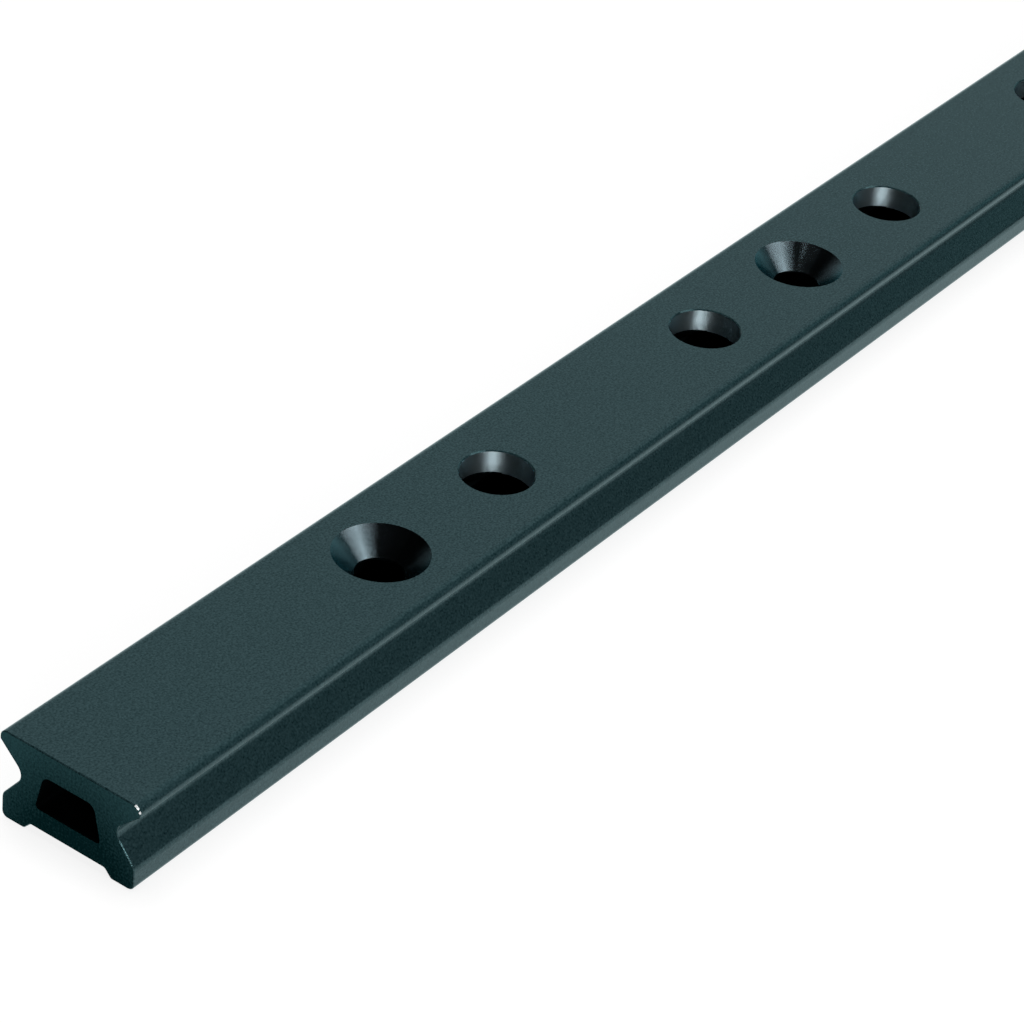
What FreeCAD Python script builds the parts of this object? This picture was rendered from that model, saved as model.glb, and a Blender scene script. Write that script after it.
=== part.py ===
import FreeCAD, Part

import math
import os

# A length of ball-bearing sail track: one aluminium extrusion of I section.
# Millimetres. X runs along the track, Y across it and Z up. The origin is
# the middle of the underside of the feet, and the end at -X is the one whose
# row of holes starts at FIRST_HOLE_FROM_END.

# Overall stock
TRACK_LENGTH = 1000.0
TRACK_HEIGHT = 13.0

# Top flange, which a car's balls wrap round
FLANGE_WIDTH = 21.7
FLANGE_TOP_RADIUS = 1.15
FLANGE_EDGE_FLAT = 0.25      # upright part of the edge, between its roundings
FLANGE_LOWER_RADIUS = 0.25
FLANGE_SLOPE_DEG = 46.0      # underside of the flange, measured from vertical

# Waist at the bottom of each side groove
WAIST_WIDTH = 15.1
WAIST_RADIUS = 1.8

# Lower flange
BASE_WIDTH = 20.7
BASE_SLOPE_DEG = 38.5        # upper side of the lower flange, from vertical
BASE_SHOULDER_RADIUS = 1.6

# Feet, and the shallow channel between them
FOOT_OUTER_RADIUS = 0.95
FOOT_INNER_RADIUS = 0.45
CHANNEL_MOUTH_WIDTH = 13.7
CHANNEL_CEILING_WIDTH = 11.6
CHANNEL_DEPTH = 1.1
CHANNEL_CORNER_RADIUS = 0.45

# Hollow core, a rounded trapezoid through the whole length
TOP_WEB = 3.5                # metal above the core
LOWER_WEB = 3.05             # metal between the core and the channel
CORE_TOP_WIDTH = 7.8
CORE_BOTTOM_WIDTH = 10.3
CORE_TOP_RADIUS = 1.3
CORE_BOTTOM_RADIUS = 0.6

# Fastener holes, countersunk for flush screw heads
FASTENER_PITCH = 100.0
FIRST_HOLE_FROM_END = 59.0
LEAST_HOLE_FROM_FAR_END = 25.0
FASTENER_HOLE_DIAMETER = 6.6
COUNTERSINK_DIAMETER = 13.0
COUNTERSINK_ANGLE_DEG = 90.0

# Stop holes for a car's plunger, two in each space between fasteners
STOP_HOLE_DIAMETER = 10.2
STOP_DRILL_RUNOUT = 1.0      # how far the drill runs on into the hollow core
STOP_HOLE_OFFSET = 25.0
STOP_RIM_BREAK = 0.15        # cone that takes the burr off the hole's rim

# Light break on the edges left by the saw at both cut ends
END_EDGE_BREAK = 0.15

# Cutters run this far past the faces they cut through
CUTTER_OVERRUN = 1.0


def meeting_point(point_a, normal_a, point_b, normal_b):
    """Point where two lines of the section cross, each given by a point and a normal."""
    reach_a = point_a[0] * normal_a[0] + point_a[1] * normal_a[1]
    reach_b = point_b[0] * normal_b[0] + point_b[1] * normal_b[1]
    scale = normal_a[0] * normal_b[1] - normal_a[1] * normal_b[0]
    y = (reach_a * normal_b[1] - reach_b * normal_a[1]) / scale
    z = (normal_a[0] * reach_b - normal_b[0] * reach_a) / scale
    return y, z


def moved(point, direction, distance):
    """A section point moved along a direction."""
    return point[0] + direction[0] * distance, point[1] + direction[1] * distance


def section_corners():
    """Sharp corners of the +Y half of the section, top to bottom, each with its radius."""
    slope = math.radians(FLANGE_SLOPE_DEG)
    base_slope = math.radians(BASE_SLOPE_DEG)
    flange_normal = (math.cos(slope), -math.sin(slope))
    base_normal = (math.cos(base_slope), math.sin(base_slope))

    # The flange's edge is its top rounding, the flat and the lower rounding
    lower_rounding = FLANGE_LOWER_RADIUS * math.tan(slope / 2)
    edge_height = FLANGE_TOP_RADIUS + FLANGE_EDGE_FLAT + lower_rounding
    edge_corner = (FLANGE_WIDTH / 2, TRACK_HEIGHT - edge_height)

    # The waist's arc touches the underside and leaves the stated width
    waist_y = WAIST_WIDTH / 2 + WAIST_RADIUS
    centre_line_point = moved(edge_corner, flange_normal, WAIST_RADIUS)
    waist_centre = meeting_point(centre_line_point, flange_normal,
                                 (waist_y, 0), (1, 0))
    base_point = moved(waist_centre, base_normal, -WAIST_RADIUS)
    groove_corner = meeting_point(edge_corner, flange_normal,
                                  base_point, base_normal)
    shoulder_corner = meeting_point(base_point, base_normal,
                                    (BASE_WIDTH / 2, 0), (1, 0))
    return [
        ((FLANGE_WIDTH / 2, TRACK_HEIGHT), FLANGE_TOP_RADIUS),
        (edge_corner, FLANGE_LOWER_RADIUS),
        (groove_corner, WAIST_RADIUS),
        (shoulder_corner, BASE_SHOULDER_RADIUS),
        ((BASE_WIDTH / 2, 0), FOOT_OUTER_RADIUS),
        ((CHANNEL_MOUTH_WIDTH / 2, 0), FOOT_INNER_RADIUS),
        ((CHANNEL_CEILING_WIDTH / 2, CHANNEL_DEPTH), CHANNEL_CORNER_RADIUS),
    ]


def core_corners():
    """Sharp corners of the +Y half of the hollow core, each with its radius."""
    top = TRACK_HEIGHT - TOP_WEB
    bottom = CHANNEL_DEPTH + LOWER_WEB
    return [
        ((CORE_TOP_WIDTH / 2, top), CORE_TOP_RADIUS),
        ((CORE_BOTTOM_WIDTH / 2, bottom), CORE_BOTTOM_RADIUS),
    ]


def both_sides(half):
    """Adds the mirrored corners, so that the list goes once round the section."""
    mirrored = [((-point[0], point[1]), radius) for point, radius in reversed(half)]
    return half + mirrored


def rounded_corner(before, corner, after, radius):
    """Start, middle and end of the arc that rounds one corner."""
    towards_before = (before - corner).normalize()
    towards_after = (after - corner).normalize()
    half_angle = towards_before.getAngle(towards_after) / 2
    inward = (towards_before + towards_after).normalize()
    tangent_length = radius / math.tan(half_angle)
    centre = corner + inward * (radius / math.sin(half_angle))
    start = corner + towards_before * tangent_length
    end = corner + towards_after * tangent_length
    return start, centre - inward * radius, end


def rounded_face(corners, x):
    """Flat face at the given X whose outline has every corner rounded."""
    points = [FreeCAD.Vector(x, point[0], point[1]) for point, radius in corners]
    arcs = []
    for index, (point, radius) in enumerate(corners):
        following = (index + 1) % len(points)
        arcs.append(rounded_corner(points[index - 1], points[index],
                                   points[following], radius))
    edges = []
    for index, (start, middle, end) in enumerate(arcs):
        previous_end = arcs[index - 1][2]
        edges.append(Part.LineSegment(previous_end, start).toShape())
        edges.append(Part.Arc(start, middle, end).toShape())
    return Part.Face(Part.Wire(edges))


def extrusion():
    """The bar before it is drilled, with its cut ends lightly broken."""
    start = -TRACK_LENGTH / 2
    along = FreeCAD.Vector(TRACK_LENGTH, 0, 0)
    bar = rounded_face(both_sides(section_corners()), start).extrude(along)
    bar = broken_ends(bar)
    core = rounded_face(both_sides(core_corners()), start).extrude(along)
    return bar.cut(core)


def broken_ends(bar):
    """Chamfers the outer edges of both cut ends."""
    end_edges = []
    for edge in bar.Edges:
        box = edge.BoundBox
        at_end = abs(abs(box.Center.x) - TRACK_LENGTH / 2) < END_EDGE_BREAK
        if at_end and box.XLength < END_EDGE_BREAK:
            end_edges.append(edge)
    return bar.makeChamfer(END_EDGE_BREAK, end_edges)


def fastener_positions():
    """X of each fastener hole, for as far as the length has room."""
    room = TRACK_LENGTH - FIRST_HOLE_FROM_END - LEAST_HOLE_FROM_FAR_END
    count = math.floor(room / FASTENER_PITCH) + 1
    first = -TRACK_LENGTH / 2 + FIRST_HOLE_FROM_END
    return [first + FASTENER_PITCH * index for index in range(count)]


def stop_positions():
    """X of each stop hole: one after each fastener and one before the next."""
    positions = []
    for fastener in fastener_positions()[:-1]:
        positions.append(fastener + STOP_HOLE_OFFSET)
        positions.append(fastener + FASTENER_PITCH - STOP_HOLE_OFFSET)
    return positions


def fastener_cutter(x):
    """Clearance hole through both webs with a countersink from the top."""
    up = FreeCAD.Vector(0, 0, 1)
    hole = Part.makeCylinder(FASTENER_HOLE_DIAMETER / 2,
                             TRACK_HEIGHT + 2 * CUTTER_OVERRUN,
                             FreeCAD.Vector(x, 0, -CUTTER_OVERRUN), up)
    spread = math.tan(math.radians(COUNTERSINK_ANGLE_DEG / 2))
    rim = COUNTERSINK_DIAMETER / 2
    neck = FASTENER_HOLE_DIAMETER / 2
    depth = (rim - neck) / spread
    cone = Part.makeCone(neck, rim + CUTTER_OVERRUN * spread,
                         depth + CUTTER_OVERRUN,
                         FreeCAD.Vector(x, 0, TRACK_HEIGHT - depth), up)
    return hole.fuse(cone)


def stop_cutter(x):
    """Plain round hole through the top web, open into the hollow core."""
    up = FreeCAD.Vector(0, 0, 1)
    radius = STOP_HOLE_DIAMETER / 2
    depth = TOP_WEB + STOP_DRILL_RUNOUT
    hole = Part.makeCylinder(radius, depth + CUTTER_OVERRUN,
                             FreeCAD.Vector(x, 0, TRACK_HEIGHT - depth), up)
    rim = Part.makeCone(radius, radius + STOP_RIM_BREAK + CUTTER_OVERRUN,
                        STOP_RIM_BREAK + CUTTER_OVERRUN,
                        FreeCAD.Vector(x, 0, TRACK_HEIGHT - STOP_RIM_BREAK), up)
    return hole.fuse(rim)


def track():
    """The finished piece: one solid."""
    cutters = [fastener_cutter(x) for x in fastener_positions()]
    cutters += [stop_cutter(x) for x in stop_positions()]
    return extrusion().cut(cutters)


os.makedirs("parts", exist_ok=True)
shape = track()
solid = shape.Solids[0]
print("solids", len(shape.Solids), "valid", solid.isValid())
print("volume mm3", round(solid.Volume, 1), "box", solid.BoundBox)
solid.exportStep("parts/track.step")
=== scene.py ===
# %% [markdown]
# # A length of sail track
# The object is one straight aluminium extrusion of I section. A ball-bearing
# car wraps round its top flange and runs in the groove on each side.
# Countersunk holes take the deck screws, and plain holes take the plunger of
# a car. The solid comes ready made from the CAD model, at its real size, so
# this file only gives it a finish, a floor, light and a camera.

# %% Load the solid
import math

import bpy
from mathutils import Matrix, Vector

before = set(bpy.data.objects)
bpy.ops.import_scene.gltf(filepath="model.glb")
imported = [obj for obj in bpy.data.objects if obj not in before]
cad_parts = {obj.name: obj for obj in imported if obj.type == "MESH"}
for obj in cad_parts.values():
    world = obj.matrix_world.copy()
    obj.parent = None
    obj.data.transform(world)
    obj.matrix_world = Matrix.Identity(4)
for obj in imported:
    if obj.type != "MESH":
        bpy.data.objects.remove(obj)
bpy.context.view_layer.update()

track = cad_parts["track"]

# %% [markdown]
# Every length below is written in millimetres, the unit of the workshop, and
# turned to Blender's metres where it is used. Colours are written as sRGB hex,
# as a colour picker shows them, but a shader adds and multiplies light, so
# one function turns them to linear values. The sRGB scale is a straight line
# in the darkest tones and a power curve above them.

# %% Units and colours
MM = 0.001
FULL_CHANNEL = 255
STRAIGHT_END = 0.04045
STRAIGHT_SLOPE = 12.92
CURVE_OFFSET = 0.055
CURVE_POWER = 2.4


def linear_colour(hex_code):
    """Turns an sRGB hex code into the linear colour with alpha that a shader wants."""
    channels = []
    for place in (1, 3, 5):
        value = int(hex_code[place:place + 2], 16) / FULL_CHANNEL
        if value <= STRAIGHT_END:
            channels.append(value / STRAIGHT_SLOPE)
        else:
            channels.append(((value + CURVE_OFFSET) / (1 + CURVE_OFFSET)) ** CURVE_POWER)
    return (*channels, 1.0)


print("mid grey is", linear_colour("#808080"))

# %% [markdown]
# The photograph looks down along the track from beyond its near end and a
# little to its right, so the track runs from the lower left corner of the
# picture to the upper right. A camera could be aimed at a point with a
# constraint, but the picture is also turned a little about its own middle. So
# the camera's own axes are worked out from three angles: where it looks round
# the compass, how far it looks down, and how far it is rolled.

# %% Camera
CAMERA_PLACE_MM = (-747.82, -212.96, 279.01)
CAMERA_HEADING_DEG = 32.319
CAMERA_LOOKS_DOWN_DEG = 34.598
CAMERA_ROLL_DEG = 6.656
CAMERA_LENS_MM = 126.66
CAMERA_NEAR_LIMIT_MM = 10


def camera_turn(heading, down, roll):
    """Rotation of a camera that faces a compass heading, tips down and rolls."""
    level = Matrix.Rotation(heading - math.pi / 2, 3, "Z")
    tipped = Matrix.Rotation(math.pi / 2 - down, 3, "X")
    rolled = Matrix.Rotation(roll, 3, "Z")
    return level @ tipped @ rolled


camera_data = bpy.data.cameras.new("camera")
camera_data.lens = CAMERA_LENS_MM
camera_data.clip_start = CAMERA_NEAR_LIMIT_MM * MM
camera = bpy.data.objects.new("camera", camera_data)
bpy.context.scene.collection.objects.link(camera)
turn = camera_turn(math.radians(CAMERA_HEADING_DEG),
                   math.radians(CAMERA_LOOKS_DOWN_DEG),
                   math.radians(CAMERA_ROLL_DEG))
camera.matrix_world = Matrix.Translation(Vector(CAMERA_PLACE_MM) * MM) @ turn.to_4x4()
bpy.context.scene.camera = camera
bpy.context.scene.view_settings.view_transform = "Standard"
print("camera at", camera.location, "looks along", turn @ Vector((0, 0, -1)))

# %% [markdown]
# The finish, the floor and the room are made from nodes. One small function
# adds any node, sets it up and feeds its inputs, so that the lines that follow
# read as a list of what a finish is made of. It hands back one output, which
# can feed the next node.

# %% Adding a node
# A Mix node has several sockets called A, B and Result, so they go by number
NUMBER_A = 2
NUMBER_B = 3
COLOUR_A = 6
COLOUR_B = 7
COLOUR_OUT = 2


def add_node(tree, kind, feeds=None, out=0, **settings):
    """Adds a shader node, feeds its inputs with values or outputs, and returns one output."""
    node = tree.nodes.new("ShaderNode" + kind)
    for name, value in settings.items():
        setattr(node, name, value)
    for place, source in (feeds or {}).items():
        if isinstance(source, bpy.types.NodeSocket):
            tree.links.new(source, node.inputs[place])
        else:
            node.inputs[place].default_value = source
    return node.outputs[out] if node.outputs else None


print("node helper ready")

# %% [markdown]
# The track lies on a white sweep, which the metal mirrors as much as it
# mirrors the lamps. A white floor lit by the lamps alone would need so much
# light that the metal burns out. So the floor is grey paint with a glow that
# only the camera and the reflections see: it looks white, lights nothing by
# itself and still takes a soft shadow. In the photograph the right side
# mirrors a bright floor only close to the track, so for reflections the glow
# dies away to the right.

# %% Floor
FLOOR_SIZE_MM = 40000
FLOOR_PAINT = "#7C7C7C"
FLOOR_GLOW = 0.83
GLOW_NEAR_MM = 20
GLOW_FAR_MM = 70

floor_paint = bpy.data.materials.new("matt_white_sweep")
floor_paint.use_nodes = True
paint_tree = floor_paint.node_tree
paint_tree.nodes.clear()
paint = add_node(paint_tree, "BsdfDiffuse", {"Color": linear_colour(FLOOR_PAINT)})
to_camera = add_node(paint_tree, "LightPath", out="Is Camera Ray")
in_gloss = to_camera.node.outputs["Is Glossy Ray"]
floor_place = add_node(paint_tree, "TexCoord", out="Object")
floor_y = add_node(paint_tree, "SeparateXYZ", {0: floor_place}, out="Y")
nearby = add_node(paint_tree, "MapRange",
                  {"Value": floor_y, "From Min": -GLOW_FAR_MM * MM, "From Max": -GLOW_NEAR_MM * MM},
                  interpolation_type="SMOOTHSTEP")
mirrored = add_node(paint_tree, "Math", {0: in_gloss, 1: nearby}, operation="MULTIPLY")
seen = add_node(paint_tree, "Math", {0: to_camera, 1: mirrored}, operation="MAXIMUM")
glow_level = add_node(paint_tree, "Math", {0: seen, 1: FLOOR_GLOW}, operation="MULTIPLY")
glow = add_node(paint_tree, "Emission", {"Strength": glow_level})
paint_and_glow = add_node(paint_tree, "AddShader", {0: paint, 1: glow})
add_node(paint_tree, "OutputMaterial", {"Surface": paint_and_glow})

reach = FLOOR_SIZE_MM / 2 * MM
floor_mesh = bpy.data.meshes.new("floor")
floor_mesh.from_pydata([(-reach, -reach, 0), (reach, -reach, 0), (reach, reach, 0), (-reach, reach, 0)],
                       [], [(0, 1, 2, 3)])
floor = bpy.data.objects.new("floor", floor_mesh)
bpy.context.scene.collection.objects.link(floor)
floor.data.materials.append(floor_paint)
print("floor", floor.dimensions)

# %% [markdown]
# Metal looks like what stands round it. In the photograph the flat top shows
# a pale wall at the far side, which goes on over the ceiling, and the left
# edge picks up its brightest part. The left of each countersink shows a dim
# wall, the slopes that face right show a nearly dark side, and the rest of the
# room is black. Each wall is a soft patch of light in one direction. A plain
# grey room would make every face of the section the same tone.

# %% Room
# Heading, rise, fade from and to (cosines of the angle away), and colour
WALLS = ((35, 25, 0.64, 0.84, "#BABABA"),
         (-5, 52, 0.88, 0.95, "#BABABA"),
         (44, 8, 0.96, 0.99, "#EEEEEE"),
         (-14, 13, 0.9, 0.96, "#8FB0B2"),
         (-60, -12, 0.76, 0.88, "#6A7476"))
BLACK_ROOM = "#050505"


def direction(heading_deg, rise_deg):
    """Unit vector towards a compass heading and a rise above the horizon."""
    heading = math.radians(heading_deg)
    rise = math.radians(rise_deg)
    return Vector((math.cos(heading) * math.cos(rise),
                   math.sin(heading) * math.cos(rise), math.sin(rise)))


world = bpy.data.worlds.new("studio_room")
world.use_nodes = True
world.node_tree.nodes.clear()
room = world.node_tree
ray = add_node(room, "TexCoord", out="Generated")
shade = linear_colour(BLACK_ROOM)
for heading, rise, fade_from, fade_to, colour in WALLS:
    nearness = add_node(room, "VectorMath", {0: ray, 1: direction(heading, rise)},
                        out="Value", operation="DOT_PRODUCT")
    presence = add_node(room, "MapRange",
                        {"Value": nearness, "From Min": fade_from, "From Max": fade_to},
                        interpolation_type="SMOOTHSTEP")
    shade = add_node(room, "Mix", {0: presence, COLOUR_A: shade, COLOUR_B: linear_colour(colour)},
                     out=COLOUR_OUT, data_type="RGBA", blend_type="LIGHTEN")
background = add_node(room, "Background", {"Color": shade})
add_node(room, "OutputWorld", {"Surface": background})
bpy.context.scene.world = world
print("room of", len(WALLS), "walls")

# %% [markdown]
# A wide soft box stands to the right. It is the bright sector in every
# countersink. A second one hangs high above the track and gives the floor and
# the dyed skin their plain level of light. A third one stands low beside the
# camera and reaches the walls of the stop holes. A point lamp would give hard
# sparks in the holes, so each lamp is a panel.

# %% Lamps
# Name, heading, rise, distance, width, height and power
SOFT_BOXES = (("right_soft_box", -74, 42, 1600, 940, 660, 5.2),
              ("overhead_soft_box", 60, 80, 1800, 1000, 1000, 22.0),
              ("low_soft_box", -131, 19, 1500, 900, 400, 12.5))
# The point on the track that every soft box faces
LIT_PLACE_MM = (-400, 0, 0)

for name, heading, rise, distance_mm, width_mm, height_mm, watts in SOFT_BOXES:
    lamp_data = bpy.data.lights.new(name, "AREA")
    lamp_data.shape = "RECTANGLE"
    lamp_data.size = width_mm * MM
    lamp_data.size_y = height_mm * MM
    lamp_data.energy = watts
    lamp = bpy.data.objects.new(name, lamp_data)
    bpy.context.scene.collection.objects.link(lamp)
    away = direction(heading, rise)
    lamp.location = (Vector(LIT_PLACE_MM) + away * distance_mm) * MM
    lamp.rotation_euler = away.to_track_quat("Z", "Y").to_euler()
    print(name, "at", lamp.location, watts, "W")

# %% [markdown]
# The finish changes from place to place: the holes are cut smooth, the ends
# are sawn and carry painted shade, the hollow core is painted dark as shade,
# and one corner has two pale spots. The solid is one mesh, and a painted map would be an image.
# Here each place is found from where it is: how far a point lies from the
# nearest hole, how near it is to the end, and which way the surface faces.

# %% Where a point is
FIRST_FASTENER_MM = -441
FASTENER_PITCH_MM = 100


def places(tree):
    """Outputs that say where a point of the surface is, in millimetres, and which way it faces."""
    metres = add_node(tree, "TexCoord", out="Object")
    point = add_node(tree, "VectorMath", {0: metres, "Scale": 1 / MM}, operation="SCALE")
    x = add_node(tree, "SeparateXYZ", {0: point})
    faces = add_node(tree, "NewGeometry", out="True Normal")
    faces_x = add_node(tree, "SeparateXYZ", {0: faces})
    return {"point": point, "x": x, "y": x.node.outputs["Y"], "z": x.node.outputs["Z"],
            "faces_x": faces_x, "faces_z": faces_x.node.outputs["Z"]}


def hole_reach(tree, place, offset_mm):
    """Distance from the axis of the nearest hole in a row that starts at an offset."""
    half_pitch = FASTENER_PITCH_MM / 2
    shifted = add_node(tree, "Math", {0: place["x"], 1: FIRST_FASTENER_MM}, operation="SUBTRACT")
    wrapped = add_node(tree, "Math", {0: shifted, 1: half_pitch, 2: -half_pitch}, operation="WRAP")
    either_side = add_node(tree, "Math", {0: wrapped}, operation="ABSOLUTE")
    along = add_node(tree, "Math", {0: either_side, 1: offset_mm}, operation="SUBTRACT")
    flat = add_node(tree, "CombineXYZ", {"X": along, "Y": place["y"]})
    return add_node(tree, "VectorMath", {0: flat}, out="Value", operation="LENGTH")


print("holes every", FASTENER_PITCH_MM, "mm")

# %% [markdown]
# A drilled wall is a steep surface inside the ring of a hole, between the
# track's top and the hollow core. The same test finds both rows of holes, as
# the stop holes only start at another offset. The broken rim of a stop hole
# keeps its dyed skin, so that mask ends a little lower.

# %% Masks of the holes
STOP_FROM_FASTENER_MM = 25
COUNTERSINK_RADIUS_MM = 6.5
STOP_RADIUS_MM = 5.1
TRACK_TOP_MM = 13
STOP_RIM_MM = 0.15
CORE_TOP_MM = 9.5
MARGIN_MM = 0.1
RIM_MARGIN_MM = 0.2
FLAT_FACING = 0.9


def hole_mask(tree, place, offset_mm, radius_mm, top_mm):
    """1 on the machined walls of one row of holes, from a height down to the core, 0 elsewhere."""
    steep = add_node(tree, "Math", {0: place["faces_z"]}, operation="ABSOLUTE")
    not_flat = add_node(tree, "Math", {0: steep, 1: FLAT_FACING}, operation="LESS_THAN")
    in_web = add_node(tree, "Math", {0: place["z"], 1: CORE_TOP_MM - MARGIN_MM},
                      operation="GREATER_THAN")
    reach_mm = hole_reach(tree, place, offset_mm)
    inside = add_node(tree, "Math", {0: reach_mm, 1: radius_mm + RIM_MARGIN_MM}, operation="LESS_THAN")
    under_top = add_node(tree, "Math", {0: place["z"], 1: top_mm}, operation="LESS_THAN")
    in_height = add_node(tree, "Math", {0: in_web, 1: under_top}, operation="MULTIPLY")
    wall = add_node(tree, "Math", {0: not_flat, 1: in_height}, operation="MULTIPLY")
    return add_node(tree, "Math", {0: wall, 1: inside}, operation="MULTIPLY")


print("countersinks", 2 * COUNTERSINK_RADIUS_MM, "mm, stop holes", 2 * STOP_RADIUS_MM, "mm")

# %% [markdown]
# The core's faces run lengthwise inside a known box, and the ends are all
# that lies farthest out along the track. Both are plain comparisons, cheaper
# than a texture and sharp at any distance.

# %% Masks of the core and the ends
CORE_BOTTOM_MM = 4.15
CORE_HALF_WIDTH_MM = 5.15
HALF_LENGTH_MM = 500
END_DEPTH_MM = 0.05


def core_mask(tree, place):
    """1 on the inner faces of the hollow core, 0 elsewhere."""
    endwise = add_node(tree, "Math", {0: place["faces_x"]}, operation="ABSOLUTE")
    lengthwise = add_node(tree, "Math", {0: endwise, 1: FLAT_FACING}, operation="LESS_THAN")
    aside = add_node(tree, "Math", {0: place["y"]}, operation="ABSOLUTE")
    narrow = add_node(tree, "Math", {0: aside, 1: CORE_HALF_WIDTH_MM + MARGIN_MM},
                      operation="LESS_THAN")
    below = add_node(tree, "Math", {0: place["z"], 1: CORE_TOP_MM + MARGIN_MM}, operation="LESS_THAN")
    above = add_node(tree, "Math", {0: place["z"], 1: CORE_BOTTOM_MM - MARGIN_MM},
                     operation="GREATER_THAN")
    in_height = add_node(tree, "Math", {0: below, 1: above}, operation="MULTIPLY")
    inside = add_node(tree, "Math", {0: narrow, 1: in_height}, operation="MULTIPLY")
    return add_node(tree, "Math", {0: lengthwise, 1: inside}, operation="MULTIPLY")


def end_mask(tree, place):
    """1 on the two sawn end faces, 0 elsewhere."""
    either_end = add_node(tree, "Math", {0: place["x"]}, operation="ABSOLUTE")
    return add_node(tree, "Math", {0: either_end, 1: HALF_LENGTH_MM - END_DEPTH_MM},
                    operation="GREATER_THAN")


print("core from", CORE_BOTTOM_MM, "to", CORE_TOP_MM, "mm up")

# %% [markdown]
# Two small pale spots are laid on the near end's upper right corner. A spot
# is a small ball round a point. Noise makes its rim ragged.

# %% Mask of the pale spots
# Centre and radius of each spot
PALE_SPOTS_MM = (((-499.9, -10.3, 12.83), 0.32), ((-499.9, -10.8, 12.2), 0.16))
PALE_SPOT_GRAIN_MM = 0.4
PALE_SPOT_RAGGED_MM = 0.12
PALE_SPOT_EDGE_MM = 0.05
PALE_SPOT_DEPTH_MM = 0.22
FAR_AWAY_MM = 1000.0


def pale_spot_mask(tree, place):
    """1 on the two pale spots on the near end's upper right edge, 0 elsewhere."""
    ragged = add_node(tree, "TexNoise", {"Vector": place["point"], "Scale": 1 / PALE_SPOT_GRAIN_MM})
    nearest = FAR_AWAY_MM
    for centre, radius in PALE_SPOTS_MM:
        distance = add_node(tree, "VectorMath", {0: place["point"], 1: centre}, out="Value",
                            operation="DISTANCE")
        past_rim = add_node(tree, "Math", {0: distance, 1: radius}, operation="SUBTRACT")
        nearest = add_node(tree, "Math", {0: nearest, 1: past_rim}, operation="MINIMUM")
    wobble = add_node(tree, "MapRange", {"Value": ragged, "To Min": -PALE_SPOT_RAGGED_MM,
                                         "To Max": PALE_SPOT_RAGGED_MM})
    rim = add_node(tree, "Math", {0: nearest, 1: wobble}, operation="ADD")
    spots = add_node(tree, "MapRange", {"Value": rim, "From Min": PALE_SPOT_EDGE_MM, "From Max": 0.0})
    behind_end = add_node(tree, "Math", {0: place["faces_x"], 1: -FLAT_FACING},
                          operation="GREATER_THAN")
    near_end = add_node(tree, "Math", {0: place["x"], 1: PALE_SPOT_DEPTH_MM - HALF_LENGTH_MM},
                        operation="LESS_THAN")
    on_edge = add_node(tree, "Math", {0: behind_end, 1: near_end}, operation="MULTIPLY")
    return add_node(tree, "Math", {0: spots, 1: on_edge}, operation="MULTIPLY")


print("nick of", len(PALE_SPOTS_MM), "spots")

# %% [markdown]
# Anodised aluminium: the extruded metal is etched matt in a bath, given a
# porous oxide skin, dyed black and sealed. The eye gets a dark grey with a
# blue-green cast, a satin sheen that is wide and soft, and a very fine grain
# from the etching. Metal alone would be too clean in the shade, because the
# dyed skin also scatters some light, so the shader is not fully metallic.

# %% Etched grain
# Etch pits are some 0.02 mm wide, too fine to show, so the grain is drawn as
# coarse as a few pixels of the render.
GRAIN_MM = 0.29
# The noise seldom leaves this range
GRAIN_LOW = 0.25
GRAIN_HIGH = 0.75
GRAIN_MIDDLE = 0.5
GRAIN_HEIGHT_MM = 0.007
SKIN_DARK = "#032024"
SKIN_LIGHT = "#334A4E"
SKIN_METALLIC = 0.3
SKIN_SMOOTHEST = 0.14
SKIN_ROUGHEST = 0.2
SKIN_SHEEN_TINT = "#C3FAFF"


def etched_grain(tree, place):
    """Fine even noise from 0 to 1, stretched so that it reaches both ends."""
    noise = add_node(tree, "TexNoise", {"Vector": place["point"], "Scale": 1 / GRAIN_MM})
    return add_node(tree, "MapRange", {"Value": noise, "From Min": GRAIN_LOW, "From Max": GRAIN_HIGH})


print("grain of", GRAIN_MM, "mm")

# %% [markdown]
# The holes are drilled and countersunk before the dye bath. The tool leaves
# smooth walls with fine rings, so a hole shines much more than the etched
# skin. The countersink's cutter also chatters, which blurs its highlight
# sideways. Both marks are finer than a pixel, and a bump would blur away at
# that size, so the surface direction itself is tipped. A wave does it better
# than noise or a rougher metal, because it never tips too far: the side of a
# countersink that faces the dark room stays black.

# %% Machined walls
CONE_COLOUR = "#606F75"
WALL_COLOUR = "#91A2A8"
TURNED_METALLIC = 1.0
CONE_ROUGHNESS = 0.15
WALL_ROUGHNESS = 0.34
RING_PITCH_MM = 0.02
# How far a surface direction tips along x, y and z
CONE_TILT = (0.13, 0.13, 0.03)
WALL_TILT = (0.0, 0.0, 0.52)


def turned_normal(tree, place, normal, cone, wall):
    """Tips a surface direction to and fro in fine waves where the walls are turned."""
    turns = add_node(tree, "VectorMath", {0: place["point"], "Scale": 2 * math.pi / RING_PITCH_MM},
                     operation="SCALE")
    waves = add_node(tree, "VectorMath", {0: turns}, operation="SINE")
    tipped = normal
    for mask, tilt in ((cone, CONE_TILT), (wall, WALL_TILT)):
        rings = add_node(tree, "VectorMath", {0: waves, 1: tilt}, operation="MULTIPLY")
        masked = add_node(tree, "VectorMath", {0: rings, "Scale": mask}, operation="SCALE")
        tipped = add_node(tree, "VectorMath", {0: tipped, 1: masked}, operation="ADD")
    return add_node(tree, "VectorMath", {0: tipped}, operation="NORMALIZE")


print("rings every", RING_PITCH_MM, "mm")
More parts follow.
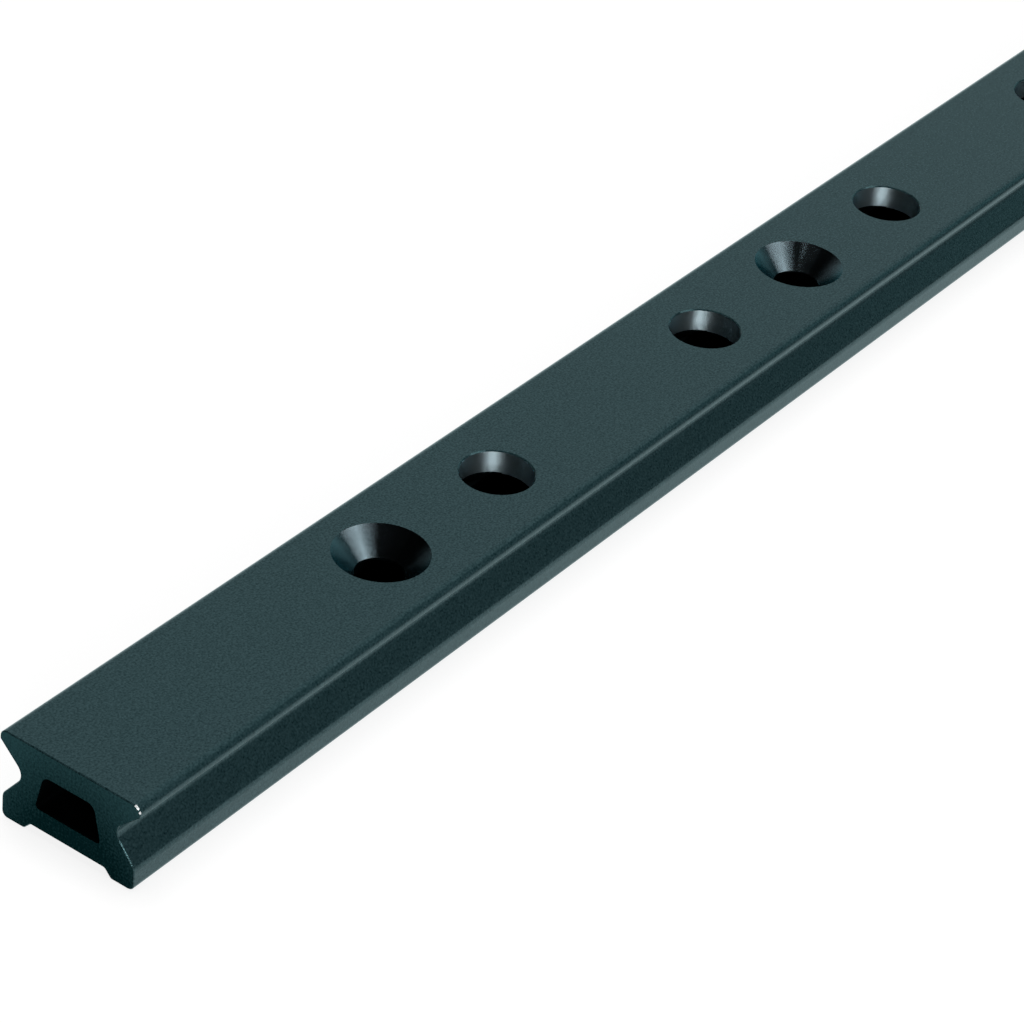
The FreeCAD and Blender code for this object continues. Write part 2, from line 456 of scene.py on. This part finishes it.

# %% [markdown]
# The ends were sawn and then dyed with the rest. A sawn face is rougher than
# the etched sides, so it mirrors less and looks darker. Its colour also holds
# painted shade, darkest low down near the foot. The saw leaves faint upright
# lines on the section. The inside of the core is the extruded wall, painted
# nearly black as shade, and two small pale spots lie on the near end's upper right corner.

# %% Sawn ends and core
# The sawn colour runs from painted shade low down near the foot to the face's own tone higher up
SAWN_PAINTED_SHADE = "#000203"
SAWN_HIGH = "#273F42"
# Painted shade on the sawn face is darkest round this point, and fades faster sideways than upwards
SAWN_SHADE_CENTRE_MM = (0, -1, -7.5)
SAWN_SHADE_STRETCH = (0, 1.3, 1)
SAWN_FULL_SHADE_MM = 12
SAWN_NO_SHADE_MM = 25
SAWN_GRAIN = 0.7
SAWN_METALLIC = 1.0
SAWN_ROUGHNESS = 0.6
SAW_LINE_MM = 0.6
# Share of the grain's height
SAW_LINE_HEIGHT = 0.35
# The core's colour is painted shade: nearly black, for a hollow that light hardly reaches
CORE_PAINTED_SHADE = "#0A0F10"
CORE_METALLIC = 1.0
CORE_ROUGHNESS = 0.6
# A pale colour laid on two small spots at the near end's upper right corner
PALE_SPOT_COLOUR = "#F2F5F5"
PALE_SPOT_METALLIC = 0.4
PALE_SPOT_ROUGHNESS = 0.45


def sawn_colour_and_shade(tree, place, grain):
    """Dark dyed saw face with painted shade that fades away from a point below the foot."""
    away = add_node(tree, "VectorMath", {0: place["point"], 1: SAWN_SHADE_CENTRE_MM}, operation="SUBTRACT")
    across = add_node(tree, "VectorMath", {0: away, 1: SAWN_SHADE_STRETCH}, operation="MULTIPLY")
    reach_mm = add_node(tree, "VectorMath", {0: across}, out="Value", operation="LENGTH")
    paler = add_node(tree, "MapRange", {"Value": reach_mm, "From Min": SAWN_FULL_SHADE_MM,
                                        "From Max": SAWN_NO_SHADE_MM})
    centred = add_node(tree, "Math", {0: grain, 1: GRAIN_MIDDLE}, operation="SUBTRACT")
    mixed = add_node(tree, "Math", {0: centred, 1: SAWN_GRAIN, 2: paler}, operation="MULTIPLY_ADD")
    return add_node(tree, "Mix", {0: mixed, COLOUR_A: linear_colour(SAWN_PAINTED_SHADE),
                                  COLOUR_B: linear_colour(SAWN_HIGH)},
                    out=COLOUR_OUT, data_type="RGBA")


def saw_lines(tree, place, end):
    """Ripple of the saw on the cut ends, as a height that adds to the grain."""
    turns = add_node(tree, "Math", {0: place["y"], 1: 2 * math.pi / SAW_LINE_MM}, operation="MULTIPLY")
    wave = add_node(tree, "Math", {0: turns}, operation="SINE")
    ripple = add_node(tree, "Math", {0: wave, 1: SAW_LINE_HEIGHT}, operation="MULTIPLY")
    return add_node(tree, "Math", {0: ripple, 1: end}, operation="MULTIPLY")


print("saw lines every", SAW_LINE_MM, "mm")

# %% [markdown]
# The finish starts as dyed skin everywhere. Each mask then lays its own
# colour, metal and roughness over it, like a stencil. One material keeps the
# grain and the size of the pattern the same all over, which separate
# materials on one mesh could not do without cutting the mesh up. The turned
# walls have no etched grain, so the grain's height is taken off them.

# %% The whole finish


def anodised_aluminium():
    """Black anodised aluminium, with its machined and sawn places, painted shade on the ends and in the
    core, and two pale spots.
    """
    material = bpy.data.materials.new("black_anodised_aluminium")
    material.use_nodes = True
    tree = material.node_tree
    tree.nodes.clear()
    place = places(tree)
    grain = etched_grain(tree, place)
    cone = hole_mask(tree, place, 0, COUNTERSINK_RADIUS_MM, TRACK_TOP_MM + MARGIN_MM)
    wall = hole_mask(tree, place, STOP_FROM_FASTENER_MM, STOP_RADIUS_MM, TRACK_TOP_MM - STOP_RIM_MM)
    end = end_mask(tree, place)
    skin = add_node(tree, "Mix", {0: grain, COLOUR_A: linear_colour(SKIN_DARK),
                                  COLOUR_B: linear_colour(SKIN_LIGHT)},
                    out=COLOUR_OUT, data_type="RGBA")
    skin_roughness = add_node(tree, "MapRange", {"Value": grain, "To Min": SKIN_ROUGHEST,
                                                 "To Max": SKIN_SMOOTHEST})
    colour, metallic, roughness = skin, SKIN_METALLIC, skin_roughness
    # The sawn ends and the core carry painted shade in their colours, and two pale spots are laid on
    # one corner
    for mask, new_colour, new_metallic, new_roughness in (
            (cone, linear_colour(CONE_COLOUR), TURNED_METALLIC, CONE_ROUGHNESS),
            (wall, linear_colour(WALL_COLOUR), TURNED_METALLIC, WALL_ROUGHNESS),
            (end, sawn_colour_and_shade(tree, place, grain), SAWN_METALLIC, SAWN_ROUGHNESS),
            (core_mask(tree, place), linear_colour(CORE_PAINTED_SHADE), CORE_METALLIC, CORE_ROUGHNESS),
            (pale_spot_mask(tree, place), linear_colour(PALE_SPOT_COLOUR), PALE_SPOT_METALLIC, PALE_SPOT_ROUGHNESS)):
        colour = add_node(tree, "Mix", {0: mask, COLOUR_A: colour, COLOUR_B: new_colour},
                          out=COLOUR_OUT, data_type="RGBA")
        metallic = add_node(tree, "Mix", {0: mask, NUMBER_A: metallic, NUMBER_B: new_metallic})
        roughness = add_node(tree, "Mix", {0: mask, NUMBER_A: roughness, NUMBER_B: new_roughness})
    turned = add_node(tree, "Math", {0: cone, 1: wall}, operation="MAXIMUM")
    etched = add_node(tree, "Math", {0: 1.0, 1: turned}, operation="SUBTRACT")
    pits = add_node(tree, "Math", {0: grain, 1: etched}, operation="MULTIPLY")
    height = add_node(tree, "Math", {0: pits, 1: saw_lines(tree, place, end)}, operation="ADD")
    bump = add_node(tree, "Bump", {"Height": height, "Distance": GRAIN_HEIGHT_MM * MM})
    normal = turned_normal(tree, place, bump, cone, wall)
    shader = add_node(tree, "BsdfPrincipled", {"Base Color": colour, "Metallic": metallic,
                                               "Roughness": roughness, "Normal": normal,
                                               "Specular Tint": linear_colour(SKIN_SHEEN_TINT)})
    add_node(tree, "OutputMaterial", {"Surface": shader})
    return material


track.material_slots[0].material = anodised_aluminium()
print("slots", [slot.material.name for slot in track.material_slots])
